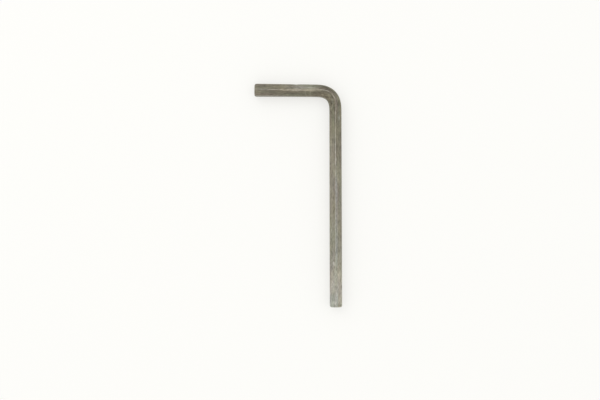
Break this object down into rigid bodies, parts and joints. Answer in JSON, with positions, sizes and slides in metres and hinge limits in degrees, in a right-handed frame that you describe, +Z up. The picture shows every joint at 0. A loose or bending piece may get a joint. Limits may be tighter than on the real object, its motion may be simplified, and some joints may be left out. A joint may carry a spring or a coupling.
{
  "type": "hex key",
  "caption": "L-shaped hex key bent from hexagonal steel bar, with a long and a short arm and bevelled tips.",
  "frame": {"origin": "on the surface that the key lies on, below the middle of the key's outline", "axes": "+Z up, with one ridge of the bar down and one up; the long arm runs along -Y from the bend and the short arm along -X"},
  "size_m": [0.0288, 0.0738, 0.0045],
  "materials": {
    "tool_steel": "worn drawn steel, warm grey, satin"
  },
  "bodies": {
    "root": {"hex_key": "tool_steel"}
  },
  "joints": []
}
